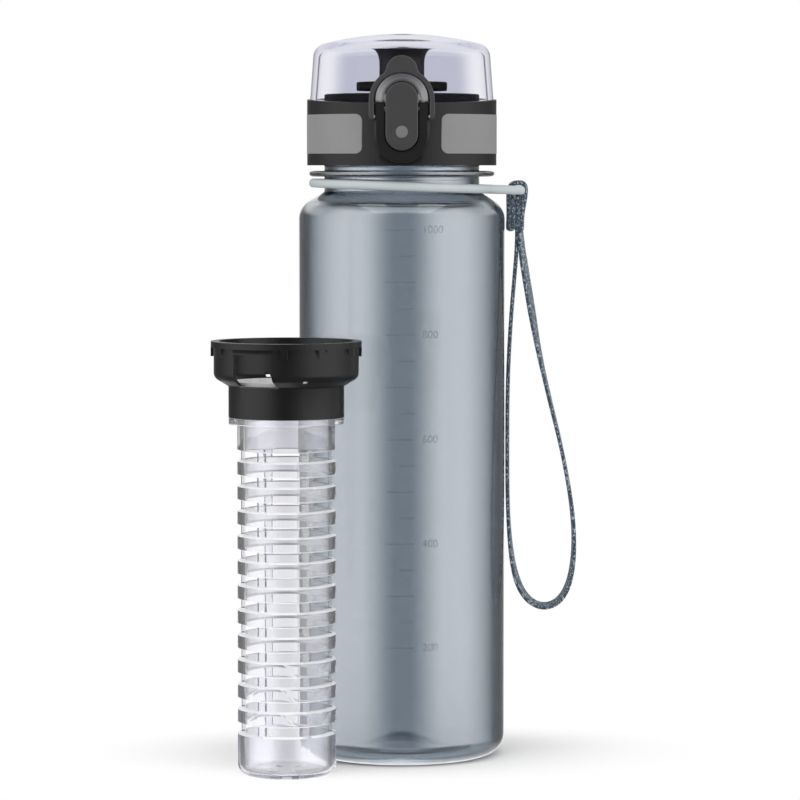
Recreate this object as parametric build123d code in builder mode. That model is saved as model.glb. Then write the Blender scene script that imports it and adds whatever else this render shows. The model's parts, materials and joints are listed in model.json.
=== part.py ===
from build123d import *
import math
import os

os.makedirs("parts", exist_ok=True)

# Clearances that the fits share
seat_gap = 0.1
bond_gap = 0.05
hinge_running = 0.05
hinge_seat = 0.02
coil_end_gap = 0.05
overrun = 30.0

# Bottle, a blown clear body with a wide neck
body_radius = 40.0
body_wall = 2.1
base_corner = 8.0
foot_width = 5.0
foot_step = 1.2
hill_radius = 19.0
hill_height = 5.2
shoulder_radius = 8.5
shoulder_turn = 60.0
neck_inset = 9.85
neck_wall = 2.55
neck_root_round = 1.0
neck_top_z = 248.0
mouth_step = 1.0
mouth_depth = 6.6
mouth_round = 0.5
bead_width = 5.85
bead_drop = 23.0
bead_height = 2.2
bead_round = 0.8

# Carrying ring and its tab
ring_running = 0.75
ring_width = 5.1
ring_height = 3.4
ring_round = 1.5
ring_play = 2.0
ring_rest = 0.5
ring_tilt = 2.0
tab_length = 11.7
tab_root_width = 25.0
tab_end_width = 12.0
tab_end_round = 2.5
tab_bar = 2.8
tab_slot = 3.4
tab_slot_width = 7.0

# Wrist strap
webbing = 1.3
strap_width = 5.6
strap_clear = 0.35
eye_round = 0.8
stem_inner = 5.0
stem_outer = 0.6
stem_flare = 2.2
stem_length = 15.4
stem_neck = 4.2
stem_round = 1.2
cord_diameter = 2.6
cord_bend_share = 0.45

# Screw lid shell, liner and gasket
shell_wall = 2.4
shell_drop = 18.7
seam_rise = 6.7
seam_tilt = 2.8
deck_rise = 2.6
deck_gap = 0.3
liner_gap = 0.2
sleeve_gap = 1.75
sleeve_wall = 2.2
sleeve_lift = 1.5
gasket_inset = 0.2
gasket_reach = 0.85
gasket_height = 1.4
collar_inset = 1.9
collar_wall = 2.0
collar_rise = 8.8
liner_floor = 1.8
spout_radius = 11.5
spout_bore = 9.0
spout_rise = 10.0
spout_skirt = 2.0
lip_round = 0.6

# Soft band let into the lid's side
band_lift = 4.5
band_height = 15.0
band_depth = 1.2
band_proud = 0.1
band_gap_half = 15.0
band_round = 2.75

# Clear dome
dome_step = 1.0
dome_draft = 1.7
dome_height = 25.4
dome_wall = 2.4
dome_corner = 5.6
roof_radius = 122.7
seam_gap = 0.2
boss_radius = 3.5
boss_depth = 4.0

# Stopper under the dome's roof
post_radius = 8.7
post_flare = 12.55
post_flare_height = 8.3
seal_radius = 17.55
seal_height = 3.4
seal_round = 0.5
plug_depth = 4.0
plug_taper = 0.4
plug_gap = 0.3

# Hinge at the back of the lid
hinge_reach = 3.5
hinge_drop = 3.3
hinge_pin_radius = 1.5
lug_radius = 2.9
lug_width = 3.0
lug_height = 3.2
lug_sink = 1.2
ear_radius = 3.2
ear_width = 3.0
ear_web_drop = 1.6
ear_web_rise = 2.6
hinge_side_gap = 0.3
spring_bay_half = 3.4
torsion_wire = 0.7
torsion_radius = 2.1
torsion_turns = 4.5
torsion_pitch = 1.15
torsion_leg = 5.0
torsion_groove = 1.9
torsion_groove_gap = 0.15

# Latch frame on the front of the lid
frame_half = 10.45
frame_lift = 0.8
frame_reach = 5.9
frame_sink = 2.2
frame_chamfer = 0.8
pocket_gap = 0.4
pocket_depth = 4.4

# Release lever, its pin and its spring
lever_half = 6.15
lever_lift = 4.7
lever_rise = 5.9
lever_proud = 1.0
lever_thick = 2.1
lever_round = 0.5
lever_pin_depth = 3.4
lever_pin_drop = 4.2
lever_pin_radius = 0.9
lever_pin_half = 9.4
boss_half = 5.7
boss_barrel = 1.7
hook_depth = 0.8
hook_clear = 0.6
hook_height = 1.9
hook_half = 3.2
dot_radius = 2.3
dot_lift = 7.1
dot_depth = 0.4
dot_proud = 0.1
button_spring_lift = 6.2
button_spring_hole = 2.3
button_spring_radius = 1.5
button_spring_wire = 0.5
button_spring_depth = 3.0
button_spring_turns = 5

# Hasp on the front of the dome
hasp_half = 10.0
hasp_rise = 9.2
hasp_setback = 2.0
hasp_sink = 2.7
hasp_chamfer = 1.2
hasp_gap = 0.3
keeper_rise = 1.3
keeper_setback = 0.3

# Locking bail and its pins
bail_wall = 1.85
bail_inner_half = 10.6
bail_arch_drop = 1.15
bail_proud = 0.4
bail_thick = 2.0
bail_lobe_radius = 6.0
bail_lobe_rise = 11.1
bail_blend = 3.5
bail_round = 0.4
bail_pin_depth = 1.6
bail_pin_drop = 7.1
bail_pin_radius = 0.8
bail_pin_inner = 8.4
bail_pin_inset = 0.25
bail_eye = 1.6

# Infuser, standing beside the bottle
infuser_turn = -129.0
infuser_gap = 0.5
tube_wall = 2.75
tube_corner = 4.5
tube_floor = 2.0
tube_flange_width = 3.15
tube_flange_z = 132.7
tube_flange_height = 2.4
tube_neck_height = 10.0
row_count = 12
row_first_z = 18.25
row_pitch = 9.33
groove_height = 3.4
groove_depth = 1.5
groove_chamfer = 0.6
rib_count = 6
rib_width = 3.3
rib_angle = -62.5
slot_overcut = 0.4
drain_margin = 2.8
drain_inner_share = 0.385
drain_width = 2.0

# Hopper on top of the infuser, and its strainer
hopper_gap = 0.1
hopper_fit = 0.3
flange_height = 2.3
cup_fit = 0.4
cup_wall = 1.8
cup_height = 28.5
cone_foot = 11.6
cone_rise = 3.3
cone_run = 5.5
cone_round = 3.0
skirt_wall = 1.95
neck_gap = 0.3
web_drop = 0.4
web_thick = 2.0
web_seat = 2.0
web_inset = 1.35
strainer_thick = 1.4
tooth_width = 2.7
tooth_drop = 3.4
tooth_count = 12
window_angle = -117.0
window_clear_angle = 8.0
window_width = 16.0
window_top_drop = 4.2
window_height = 12.0
weep_width = 2.2
weep_height = 0.9
weep_lift = 0.2
weep_count = 8
strainer_ring_shares = (0.245, 0.49, 0.745)
strainer_counts = (6, 10, 14)
strainer_slot = 2.6
strainer_slot_width = 1.0

# Radii and depths, each from the piece that carries the next
neck_radius = body_radius - neck_inset
neck_bore = neck_radius - neck_wall
mouth_bore = neck_bore + mouth_step
bead_radius = neck_radius + bead_width
foot_outer = body_radius - base_corner
foot_inner = foot_outer - foot_width
ring_bore = neck_radius + ring_running
ring_radius = ring_bore + ring_width
tab_reach = ring_radius + tab_length
gasket_bore = mouth_bore + gasket_inset
gasket_radius = neck_radius + gasket_reach
sleeve_bore = neck_radius + sleeve_gap
sleeve_radius = sleeve_bore + sleeve_wall
shell_radius = sleeve_radius + liner_gap + shell_wall
collar_radius = sleeve_bore - collar_inset
deck_bore = collar_radius + deck_gap
dome_radius = shell_radius - dome_step
dome_top_radius = dome_radius - dome_draft
hinge_y = shell_radius + hinge_reach
lug_root_y = dome_radius - lug_sink
frame_front = shell_radius + frame_reach
frame_root = shell_radius - frame_sink
pocket_floor = frame_front - pocket_depth
button_spring_floor = pocket_floor - button_spring_depth
lever_front = frame_front + lever_proud
lever_pin_y = lever_front - lever_pin_depth
hasp_front = frame_front - hasp_setback
hasp_root = dome_radius - hasp_sink
keeper_front = hasp_front - keeper_setback
bail_half = bail_inner_half + bail_wall
bail_front = frame_front + bail_proud
bail_pin_y = bail_front - bail_pin_depth
bail_pin_outer = bail_half - bail_pin_inset
flange_radius = mouth_bore - hopper_fit
cup_radius = neck_bore - cup_fit
tube_flange_radius = cup_radius - cone_run
tube_radius = tube_flange_radius - tube_flange_width
tube_bore = tube_radius - tube_wall
drain_outer = tube_bore - drain_margin
drain_inner = drain_inner_share * drain_outer
skirt_bore = tube_flange_radius - skirt_wall
web_bore = skirt_bore - web_inset
strainer_radius = web_bore + web_seat
infuser_reach = body_radius + flange_radius + infuser_gap
infuser_x = infuser_reach * math.cos(math.radians(infuser_turn))
infuser_y = infuser_reach * math.sin(math.radians(infuser_turn))

# Heights, from the neck's top down to the shoulder and up to the dome
bead_z = neck_top_z - bead_drop
ring_z = bead_z - ring_play - ring_height / 2
neck_root_z = ring_z - ring_height / 2 - ring_rest
shell_bottom_z = neck_top_z - shell_drop
deck_under_z = neck_top_z + deck_rise
liner_under_z = neck_top_z + gasket_height + 2 * seat_gap
liner_floor_z = liner_under_z + liner_floor
collar_top_z = neck_top_z + collar_rise
spout_top_z = neck_top_z + spout_rise
seal_bottom_z = spout_top_z + seat_gap
seam_z = neck_top_z + seam_rise
dome_top_z = seam_z + dome_height
band_bottom_z = shell_bottom_z + band_lift
frame_bottom_z = shell_bottom_z + frame_lift
frame_turn_z = frame_bottom_z + frame_half
lever_bottom_z = frame_bottom_z + lever_lift
lever_top_z = seam_z + lever_rise
lever_low_z = lever_bottom_z + lever_half
lever_high_z = lever_top_z - lever_half
lever_pin_z = seam_z - lever_pin_drop
dot_z = lever_bottom_z + dot_lift
button_spring_z = lever_bottom_z + button_spring_lift
hasp_top_z = seam_z + hasp_rise
hasp_arch_z = hasp_top_z - hasp_half
keeper_top_z = seam_z + keeper_rise
hook_z = keeper_top_z + hook_clear
bail_arch_z = seam_z - bail_arch_drop
bail_lobe_z = bail_arch_z + bail_lobe_rise
bail_pin_z = seam_z - bail_pin_drop
seam_slope = math.tan(math.radians(seam_tilt))
hinge_z = seam_z + hinge_y * seam_slope - hinge_drop
hopper_z = tube_flange_z + tube_flange_height + hopper_gap
hopper_top_z = hopper_z + cup_height
cone_foot_z = hopper_z + cone_foot
web_top_z = cone_foot_z + web_drop
seam_plane = Plane(origin=(0, 0, seam_z), x_dir=(1, 0, 0), z_dir=(0, -seam_slope, 1))
ring_plane = Plane(
    origin=(0, 0, ring_z),
    x_dir=(math.cos(math.radians(ring_tilt)), 0, -math.sin(math.radians(ring_tilt))),
    z_dir=(math.sin(math.radians(ring_tilt)), 0, math.cos(math.radians(ring_tilt))),
)
infuser_plane = Plane(origin=(infuser_x, infuser_y, 0))
infuser_section = Plane(origin=(infuser_x, infuser_y, 0), x_dir=(1, 0, 0), z_dir=(0, -1, 0))
infuser_axis = Axis((infuser_x, infuser_y, 0), (0, 0, 1))


def front_plane(depth):
    """The upright plane that lies this far in front of the bottle's axis."""
    return Plane.XZ.offset(depth)


def keep(name, label):
    """Label a finished piece and write its file."""
    name.part.label = label
    export_step(name.part, f"parts/{label}.step")


def bottle_outline(inset, neck_r, foot):
    """Half outline of the bottle from the hill in its base to the top of its neck."""
    turn = math.radians(shoulder_turn)
    cone_run = neck_inset - shoulder_radius * (1 - math.cos(turn))
    shoulder_z = neck_root_z - cone_run / math.tan(turn) - shoulder_radius * math.sin(turn)
    arc_x = body_radius - shoulder_radius + (shoulder_radius - inset) * math.cos(turn)
    arc_z = shoulder_z + (shoulder_radius - inset) * math.sin(turn)
    cone_z = arc_z + (arc_x - neck_r) / math.tan(turn)
    floor_z = foot_step + inset
    top = (0, floor_z + hill_height)
    middle = (hill_radius / 2, floor_z + hill_height / 2)
    side = body_radius - inset
    shoulder = (body_radius - shoulder_radius, shoulder_z)
    with BuildSketch(Plane.XZ) as outline:
        with BuildLine():
            crown = TangentArc(top, middle, tangent=(1, 0))
            TangentArc(middle, (hill_radius, floor_z), tangent=crown % 1)
            Polyline((hill_radius, floor_z), *foot, (foot_outer, inset))
            CenterArc((foot_outer, base_corner), base_corner - inset, -90, 90)
            Line((side, base_corner), (side, shoulder_z))
            CenterArc(shoulder, shoulder_radius - inset, 0, shoulder_turn)
            Polyline((arc_x, arc_z), (neck_r, cone_z), (neck_r, neck_top_z), (0, neck_top_z), top)
        make_face()
    return outline.sketch


def roof_z(radius, inset):
    """Height of the dome's roof at this radius, on a surface this far inside the outer one."""
    edge_drop = roof_radius - math.sqrt(roof_radius**2 - dome_top_radius**2)
    top_r = dome_top_radius - inset
    arc_r = (top_r**2 + edge_drop**2) / (2 * edge_drop)
    return dome_top_z - inset - arc_r + math.sqrt(arc_r**2 - radius**2)


def dome_outline(inset):
    """Half outline of the dome, from below the seam up its drafted side and over its roof."""
    low_z = shell_bottom_z
    draft = (dome_radius - dome_top_radius) / (dome_top_z - seam_z)
    low_r = dome_radius + draft * (seam_z - low_z) - inset
    top_r = dome_top_radius - inset
    edge_z = roof_z(top_r, inset)
    mid_z = roof_z(top_r / 2, inset)
    with BuildSketch(Plane.XZ) as outline:
        with BuildLine():
            Polyline((0, dome_top_z - inset), (0, low_z), (low_r, low_z), (top_r, edge_z))
            ThreePointArc((top_r, edge_z), (top_r / 2, mid_z), (0, dome_top_z - inset))
        make_face()
        fillet(vertices().sort_by_distance((top_r, edge_z))[0], dome_corner - inset)
    return outline.sketch


def helix_arcs(axis_plane, radius, pitch, turns, start, steps=4):
    """Corner points and directions of a helix about the plane's normal, by part turns."""
    spots = []
    for k in range(int(turns * steps) + 1):
        angle = math.radians(start + 360 * k / steps)
        around = (-radius * math.sin(angle), radius * math.cos(angle), pitch / (2 * math.pi))
        at = (radius * math.cos(angle), radius * math.sin(angle), pitch * k / steps)
        here = axis_plane.from_local_coords(Vector(*at))
        ahead = axis_plane.from_local_coords(Vector(*at) + Vector(*around).normalized()) - here
        spots.append((here, ahead))
    return spots


def biarc(start, end):
    """Two tangent arcs between two points of a helix that have equal chord angles."""
    (a, u), (b, v) = start, end
    chord, both = b - a, u + v
    p, q, r = 2 * (u.dot(v) - 1), -2 * chord.dot(both), chord.dot(chord)
    d = (-q - math.sqrt(q * q - 4 * p * r)) / (2 * p)
    joint = (a + u * d + b - v * d) * 0.5
    first = TangentArc(a, joint, tangent=u)
    TangentArc(joint, b, tangent=first % 1)


def least_gap(spots, wire, steps=4):
    """The least air between one turn of a coil and the next, from its points."""
    here = [p for p, _ in spots]
    pairs = ((a - b).length for a, b in zip(here, here[steps:]))
    return min(pairs) - wire


# The bottle: one blown shell, with a bead that stops the carrying ring
foot = ((foot_inner - foot_step, foot_step), (foot_inner, 0))
with BuildPart() as bottle_body:
    revolve(bottle_outline(0, neck_radius, foot), axis=Axis.Z)
    root = bottle_body.edges().filter_by(GeomType.CIRCLE).filter_by(
        lambda e: abs(e.radius - neck_radius) < bead_round and e.center().Z < bead_z
    )
    fillet(root, neck_root_round)
    with BuildSketch(Plane.XZ):
        with Locations((neck_bore + (bead_radius - neck_bore) / 2, bead_z + bead_height / 2)):
            Rectangle(bead_radius - neck_bore, bead_height)
        fillet(vertices().group_by(Axis.X)[-1], bead_round)
    revolve(axis=Axis.Z)
    revolve(bottle_outline(body_wall, neck_bore, ()), axis=Axis.Z, mode=Mode.SUBTRACT)
    with BuildSketch(Plane.XY.offset(neck_top_z)):
        Circle(mouth_bore)
    extrude(amount=-mouth_depth, mode=Mode.SUBTRACT)
    fillet(bottle_body.edges().filter_by(GeomType.CIRCLE).group_by(Axis.Z)[-1], mouth_round)
keep(bottle_body, "bottle_body")

# The carrying ring: a soft flat ring with a tab and a slot for the strap
with BuildPart() as carry_ring:
    with BuildSketch(ring_plane.offset(-ring_height / 2)):
        Circle(ring_radius)
        with BuildLine():
            Polyline(
                (0, -tab_root_width / 2),
                (ring_bore, -tab_root_width / 2),
                (tab_reach, -tab_end_width / 2),
                (tab_reach, tab_end_width / 2),
                (ring_bore, tab_root_width / 2),
                (0, tab_root_width / 2),
                close=True,
            )
        make_face()
        fillet(vertices().group_by(Axis.X)[-1], tab_end_round)
        Circle(ring_bore, mode=Mode.SUBTRACT)
        with Locations((tab_reach - tab_bar - tab_slot / 2, 0)):
            Rectangle(tab_slot, tab_slot_width, mode=Mode.SUBTRACT)
    extrude(amount=ring_height)
    flats = carry_ring.faces().sort_by(Axis(ring_plane.origin, ring_plane.z_dir))
    rounds = carry_ring.edges().filter_by(GeomType.CIRCLE)
    bores = rounds.filter_by(lambda e: abs(e.radius - ring_bore) < ring_round)
    fillet(flats[-1].outer_wire().edges() + flats[0].outer_wire().edges() + bores, ring_round)
keep(carry_ring, "carry_ring")

# The strap's eye: webbing folded through the slot, round the bar and stitched into a stem
bar_x = tab_reach - tab_bar / 2
bar_z = ring_z - bar_x * math.tan(math.radians(ring_tilt))
stem_left = bar_x - stem_inner
stem_right = bar_x + stem_outer
stem_bottom_z = bar_z - stem_length
eye_hole = (tab_bar + 2 * strap_clear, ring_height + 2 * strap_clear)
with BuildPart() as strap_eye:
    with BuildSketch(Plane.XZ.offset(-strap_width / 2)):
        with Locations((bar_x, bar_z)):
            RectangleRounded(
                eye_hole[0] + 2 * webbing, eye_hole[1] + 2 * webbing, eye_round + webbing
            )
        with BuildLine():
            Polyline(
                (bar_x - eye_hole[0] / 2, bar_z - eye_hole[1] / 2),
                (stem_left, bar_z - stem_neck),
                (stem_left, stem_bottom_z),
                (stem_right, stem_bottom_z),
                (stem_right + webbing / 2, stem_bottom_z + stem_flare),
                (bar_x + eye_hole[0] / 2 + webbing, bar_z - eye_hole[1] / 2),
                close=True,
            )
        make_face()
        fillet(vertices().group_by(Axis.Y)[0], stem_round)
        with Locations((bar_x, bar_z)):
            RectangleRounded(*eye_hole, eye_round, mode=Mode.SUBTRACT)
    extrude(amount=strap_width)
keep(strap_eye, "strap_eye")

# The strap's hanging loop: down beside the bottle, round a tight bend and up again
cord_side = strap_width / 2 - cord_diameter / 2
cord_route = [
    (-1.3, cord_side, 0.0),
    (-1.3, cord_side, -6.3),
    (-2.1, 1.6, -18.3),
    (-3.4, 1.7, -36.3),
    (-4.2, 1.5, -59.3),
    (-4.3, 1.2, -86.3),
    (-4.2, 0.9, -109.3),
    (-3.3, 0.6, -128.3),
    (-1.0, 0.4, -140.3),
    (3.3, 0.2, -147.1),
    (9.3, 0.0, -149.7),
    (15.3, -0.2, -147.3),
    (19.3, -0.4, -139.8),
    (21.1, -0.6, -126.3),
    (20.3, -0.9, -108.3),
    (16.1, -1.2, -85.3),
    (11.3, -1.5, -66.3),
    (6.7, -1.7, -46.3),
    (3.0, -1.7, -26.3),
    (0.3, -1.6, -12.3),
    (-0.7, -cord_side, -5.8),
    (-0.7, -cord_side, 0.0),
]
cord_points = [(bar_x + x, y, stem_bottom_z + z) for x, y, z in cord_route]


def bend_radii(points):
    """The radius at each corner: a share of its shorter run over the tangent of half the turn."""
    radii = []
    for a, b, c in zip(points, points[1:], points[2:]):
        before, after = Vector(*b) - Vector(*a), Vector(*c) - Vector(*b)
        half_turn = math.radians(before.get_angle(after) / 2)
        radii.append(cord_bend_share * min(before.length, after.length) / math.tan(half_turn))
    return radii


cord_radii = bend_radii(cord_points)
with BuildPart() as strap_loop:
    with BuildLine() as cord_path:
        FilletPolyline(*cord_points, radius=cord_radii)
    with BuildSketch(Plane(origin=cord_path.line @ 0, z_dir=cord_path.line % 0)):
        Circle(cord_diameter / 2)
    sweep()
cord_section = math.pi * cord_diameter**2 / 4
print("strap bend radii", [round(r, 1) for r in cord_radii])
cord_length = cord_path.wire().length
print("strap length", round(cord_length, 1))
print("strap volume share", round(strap_loop.part.volume / cord_section / cord_length, 4))
keep(strap_loop, "strap_loop")

# The gasket that the lid's liner presses on the rim
with BuildPart() as neck_gasket:
    with BuildSketch(Plane.XY.offset(neck_top_z + seat_gap)):
        Circle(gasket_radius)
        Circle(gasket_bore, mode=Mode.SUBTRACT)
    extrude(amount=gasket_height)
keep(neck_gasket, "neck_gasket")


def band_ring(inner_r, outer_r):
    """A band round the lid's side, open at the front, with rounded ends."""
    mid_z = band_bottom_z + band_height / 2
    end = 4 * band_round
    with BuildPart() as ring:
        with BuildSketch(Plane.XZ):
            with Locations(((inner_r + outer_r) / 2, mid_z)):
                Rectangle(outer_r - inner_r, band_height)
        revolve(axis=Axis.Z)
        with BuildSketch(Plane.XZ):
            with Locations((0, mid_z)):
                Rectangle(2 * band_gap_half + end, 2 * band_height)
            with Locations((band_gap_half + end / 2, mid_z), (-band_gap_half - end / 2, mid_z)):
                RectangleRounded(end, band_height, band_round, mode=Mode.SUBTRACT)
        extrude(amount=outer_r + overrun, mode=Mode.SUBTRACT)
    return ring


band_inner = shell_radius - band_depth
grip_band = band_ring(band_inner, shell_radius + band_proud)
band_recess = band_ring(band_inner, shell_radius + overrun)
keep(grip_band, "grip_band")

# The lid shell: skirt, deck, latch frame, hinge ears and the recess for the band
ear_place = spring_bay_half + hinge_side_gap + lug_width + hinge_side_gap
spring_length = lever_front - lever_thick - button_spring_floor - 2 * coil_end_gap
torsion_width = torsion_pitch * torsion_turns
groove_z = hinge_z + torsion_radius - torsion_wire / 2 - torsion_groove_gap
with BuildPart() as lid_shell:
    with BuildSketch(Plane.XZ):
        with BuildLine():
            Polyline(
                (shell_radius - shell_wall, shell_bottom_z),
                (shell_radius, shell_bottom_z),
                (shell_radius, dome_top_z),
                (deck_bore, dome_top_z),
                (deck_bore, deck_under_z),
                (shell_radius - shell_wall, deck_under_z),
                close=True,
            )
        make_face()
    revolve(axis=Axis.Z)
    with BuildSketch(front_plane(frame_front)):
        with Locations((0, frame_turn_z)):
            Circle(frame_half)
        with Locations((0, (frame_turn_z + dome_top_z) / 2)):
            Rectangle(2 * frame_half, dome_top_z - frame_turn_z)
    extrude(amount=frame_root - frame_front)
    face = lid_shell.faces().sort_by(Axis.Y)[0]
    chamfer(face.edges(), frame_chamfer)
    add(band_recess.part, mode=Mode.SUBTRACT)
    split(bisect_by=seam_plane, keep=Keep.BOTTOM)
    with BuildSketch(Plane.XY.offset(groove_z)):
        with Locations((torsion_width / 2, hinge_y)):
            Rectangle(torsion_groove, 2 * (torsion_leg + torsion_groove_gap))
    extrude(amount=overrun, mode=Mode.SUBTRACT)
    with BuildSketch(front_plane(pocket_floor)):
        with Locations((0, lever_low_z)):
            Circle(lever_half + pocket_gap)
        with Locations((0, (lever_low_z + dome_top_z) / 2)):
            Rectangle(2 * (lever_half + pocket_gap), dome_top_z - lever_low_z)
    extrude(amount=overrun, mode=Mode.SUBTRACT)
    with BuildSketch(front_plane(button_spring_floor)):
        with Locations((0, button_spring_z)):
            Circle(button_spring_hole)
    extrude(amount=overrun, mode=Mode.SUBTRACT)
    with BuildSketch(Plane.YZ):
        with Locations((-lever_pin_y, lever_pin_z)):
            Circle(lever_pin_radius + hinge_seat)
    extrude(amount=lever_pin_half, both=True, mode=Mode.SUBTRACT)
    for side in (-1, 1):
        with BuildSketch(Plane.YZ.offset(side * bail_pin_inner)):
            with Locations((-bail_pin_y, bail_pin_z)):
                Circle(bail_pin_radius + hinge_seat)
        extrude(amount=side * overrun, mode=Mode.SUBTRACT)
        with BuildSketch(Plane.YZ.offset(side * ear_place)):
            with Locations((hinge_y, hinge_z)):
                Circle(ear_radius)
            with BuildLine():
                Polyline(
                    (lug_root_y, hinge_z - ear_web_drop),
                    (hinge_y, hinge_z - ear_web_drop),
                    (hinge_y, hinge_z + ear_radius),
                    (lug_root_y, hinge_z + ear_web_rise),
                    close=True,
                )
            make_face()
            with Locations((hinge_y, hinge_z)):
                Circle(hinge_pin_radius + hinge_seat, mode=Mode.SUBTRACT)
        extrude(amount=side * ear_width)
keep(lid_shell, "lid_shell")

# The lid liner: threaded sleeve, collar, floor and drinking spout in one moulding
sleeve_top_z = deck_under_z - seat_gap
with BuildPart() as lid_liner:
    with BuildSketch(Plane.XZ):
        with BuildLine():
            Polyline(
                (sleeve_bore, shell_bottom_z + sleeve_lift),
                (sleeve_radius, shell_bottom_z + sleeve_lift),
                (sleeve_radius, sleeve_top_z),
                (collar_radius, sleeve_top_z),
                (collar_radius, collar_top_z),
                (collar_radius - collar_wall, collar_top_z),
                (collar_radius - collar_wall, liner_floor_z),
                (spout_radius, liner_floor_z),
                (spout_radius, spout_top_z),
                (spout_bore, spout_top_z),
                (spout_bore, liner_under_z - spout_skirt),
                (spout_radius, liner_under_z - spout_skirt),
                (spout_radius, liner_under_z),
                (sleeve_bore, liner_under_z),
                close=True,
            )
        make_face()
        fillet(vertices().group_by(Axis.Y)[-1] + vertices().group_by(Axis.Y)[-2], lip_round)
    revolve(axis=Axis.Z)
keep(lid_liner, "lid_liner")

# The clear dome: drafted side, shallow roof, a boss for the post and two hinge lugs
lug_place = spring_bay_half + hinge_side_gap
with BuildPart() as dome_space:
    revolve(dome_outline(dome_wall), axis=Axis.Z)
with BuildPart() as dome_envelope:
    revolve(dome_outline(-bond_gap), axis=Axis.Z)
with BuildPart() as post_space:
    revolve(dome_outline(dome_wall + bond_gap), axis=Axis.Z)
with BuildPart() as dome:
    revolve(dome_outline(0), axis=Axis.Z)
    add(dome_space.part, mode=Mode.SUBTRACT)
    split(bisect_by=seam_plane.offset(seam_gap), keep=Keep.TOP)
    with BuildSketch(Plane.XY.offset(dome_top_z - dome_wall - boss_depth)):
        Circle(boss_radius)
    extrude(amount=boss_depth + dome_wall / 2)
    for side in (-1, 1):
        with BuildSketch(Plane.YZ.offset(side * lug_place)):
            with Locations((hinge_y, hinge_z)):
                Circle(lug_radius)
            with BuildLine():
                Polyline(
                    (hinge_y - lug_radius, hinge_z),
                    (hinge_y - lug_radius, hinge_z + hinge_drop),
                    (lug_root_y, hinge_z + hinge_drop),
                    (lug_root_y, hinge_z + hinge_drop + lug_height),
                    (hinge_y + lug_radius, hinge_z),
                    close=True,
                )
            make_face()
            with Locations((hinge_y, hinge_z)):
                Circle(hinge_pin_radius + hinge_running, mode=Mode.SUBTRACT)
        extrude(amount=side * lug_width)
keep(dome, "dome")

# The stopper post, flared where it meets the roof, with a socket for the dome's boss
seal_top_z = seal_bottom_z + seal_height
flare_top_z = roof_z(post_flare, dome_wall + bond_gap)
flare_z = flare_top_z - post_flare_height
with BuildPart() as stopper_post:
    with BuildSketch(Plane.XZ):
        with BuildLine():
            Polyline((0, dome_top_z), (0, seal_top_z), (post_radius, seal_top_z), (post_radius, flare_z))
            TangentArc((post_radius, flare_z), (post_flare, flare_top_z), tangent=(0, 1))
            Polyline((post_flare, flare_top_z), (post_flare, dome_top_z), (0, dome_top_z))
        make_face()
    revolve(axis=Axis.Z)
    add(post_space.part, mode=Mode.INTERSECT)
    with BuildSketch(Plane.XY.offset(dome_top_z - dome_wall - boss_depth - seat_gap)):
        Circle(boss_radius + bond_gap)
    extrude(amount=2 * boss_depth, mode=Mode.SUBTRACT)
keep(stopper_post, "stopper_post")

# The seal: a disc over the spout's rim and a tapered plug in its bore
plug_radius = spout_bore - plug_gap
with BuildPart() as stopper_seal:
    with BuildSketch(Plane.XZ):
        with BuildLine():
            Polyline(
                (0, seal_top_z),
                (seal_radius, seal_top_z),
                (seal_radius, seal_bottom_z),
                (plug_radius, seal_bottom_z),
                (plug_radius - plug_taper, seal_bottom_z - plug_depth),
                (0, seal_bottom_z - plug_depth),
                close=True,
            )
        make_face()
        fillet(vertices().group_by(Axis.X)[-1], seal_round)
    revolve(axis=Axis.Z)
keep(stopper_seal, "stopper_seal")

# The hasp: a chamfered arch on the dome's front, with a keeper bar for the lever's hook
with BuildPart() as hasp:
    with BuildSketch(front_plane(hasp_front)):
        with Locations((0, hasp_arch_z)):
            Circle(hasp_half)
        with Locations((0, (hasp_arch_z + shell_bottom_z) / 2)):
            Rectangle(2 * hasp_half, hasp_arch_z - shell_bottom_z)
        with Locations((0, lever_high_z)):
            Circle(lever_half + hasp_gap, mode=Mode.SUBTRACT)
        with Locations((0, (lever_high_z + shell_bottom_z) / 2)):
            Rectangle(2 * (lever_half + hasp_gap), lever_high_z - shell_bottom_z, mode=Mode.SUBTRACT)
    extrude(amount=hasp_root - hasp_front)
    chamfer(hasp.faces().sort_by(Axis.Y)[0].edges(), hasp_chamfer)
    with BuildSketch(front_plane(keeper_front)):
        with Locations((0, (keeper_top_z + shell_bottom_z) / 2)):
            Rectangle(2 * (lever_half + hasp_gap), keeper_top_z - shell_bottom_z)
    extrude(amount=hasp_root - keeper_front)
    split(bisect_by=seam_plane.offset(seam_gap), keep=Keep.TOP)
    add(dome_envelope.part, mode=Mode.SUBTRACT)
keep(hasp, "hasp")

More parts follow.
